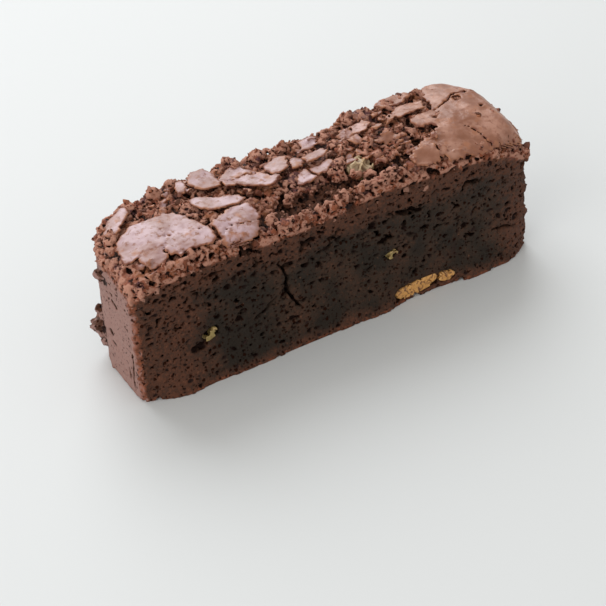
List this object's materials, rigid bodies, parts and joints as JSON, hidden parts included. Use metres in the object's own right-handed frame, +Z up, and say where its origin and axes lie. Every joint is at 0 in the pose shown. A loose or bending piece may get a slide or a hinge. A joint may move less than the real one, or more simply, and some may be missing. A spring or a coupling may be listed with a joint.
{
  "type": "brownie",
  "caption": "Cut finger of chocolate brownie with a crackled papery crust and chopped walnut showing in its cut side.",
  "frame": {"origin": "middle of the footprint, on the surface that the brownie lies on", "axes": "+X along the length, from the broken near end to the smooth pan-edge end; +Y from the cut front side with the walnut pieces to the back; +Z up"},
  "size_m": [0.1108, 0.0328, 0.0379],
  "materials": {
    "crumb": "moist porous chocolate cake crumb, cut with a knife",
    "crust": "thin papery sugar crust, satin, cracked into plates",
    "walnut": "baked walnut flesh, matte with a little oil"
  },
  "bodies": {
    "root": {"brownie": "crumb", "walnut_base_long": "walnut", "walnut_base_short": "walnut", "walnut_near_chip": "walnut", "walnut_middle_chip": "walnut", "walnut_top": "walnut"}
  },
  "joints": []
}
